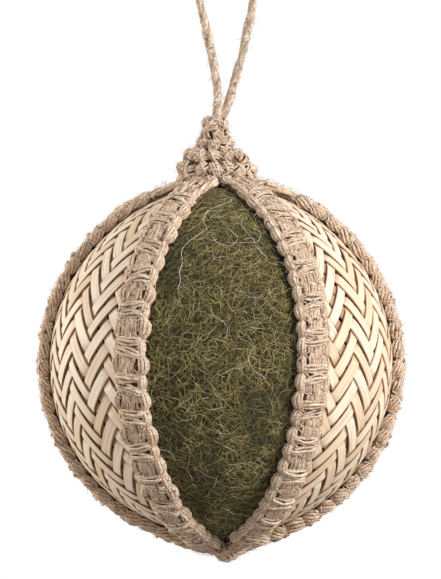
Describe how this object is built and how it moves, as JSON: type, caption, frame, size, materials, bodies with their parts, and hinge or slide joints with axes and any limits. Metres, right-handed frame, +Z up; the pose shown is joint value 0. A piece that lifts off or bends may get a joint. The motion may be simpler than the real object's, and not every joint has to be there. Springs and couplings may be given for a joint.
{
  "type": "hanging ball ornament",
  "caption": "Wool-felt ball with alternating felt and herringbone woven rattan panels, knotted jute bands along its meridians, a jute crown and a hanging loop.",
  "frame": {"origin": "the point inside the top of the hanging loop where a hook, nail or twig holds it", "axes": "+Z up along the ball's own axis, from the bottom knot through the crown; -Y the front, with a felt gore in its middle; +X to the right seen from the front"},
  "size_m": [0.1003, 0.0924, 0.1733],
  "materials": {
    "felt": "moss green wool felt with curly fibres",
    "rattan": "peeled flat rattan strips, matt",
    "jute": "natural jute twine, dry and hairy"
  },
  "bodies": {
    "root": {"felt_ball": "felt", "rattan_panel_1": "rattan", "rattan_panel_2": "rattan", "rattan_panel_3": "rattan", "jute_band_1": "jute", "jute_band_2": "jute", "jute_band_3": "jute", "jute_band_4": "jute", "jute_band_5": "jute", "jute_band_6": "jute", "jute_crown": "jute", "bottom_knot": "jute", "hanging_loop": "jute"}
  },
  "joints": []
}
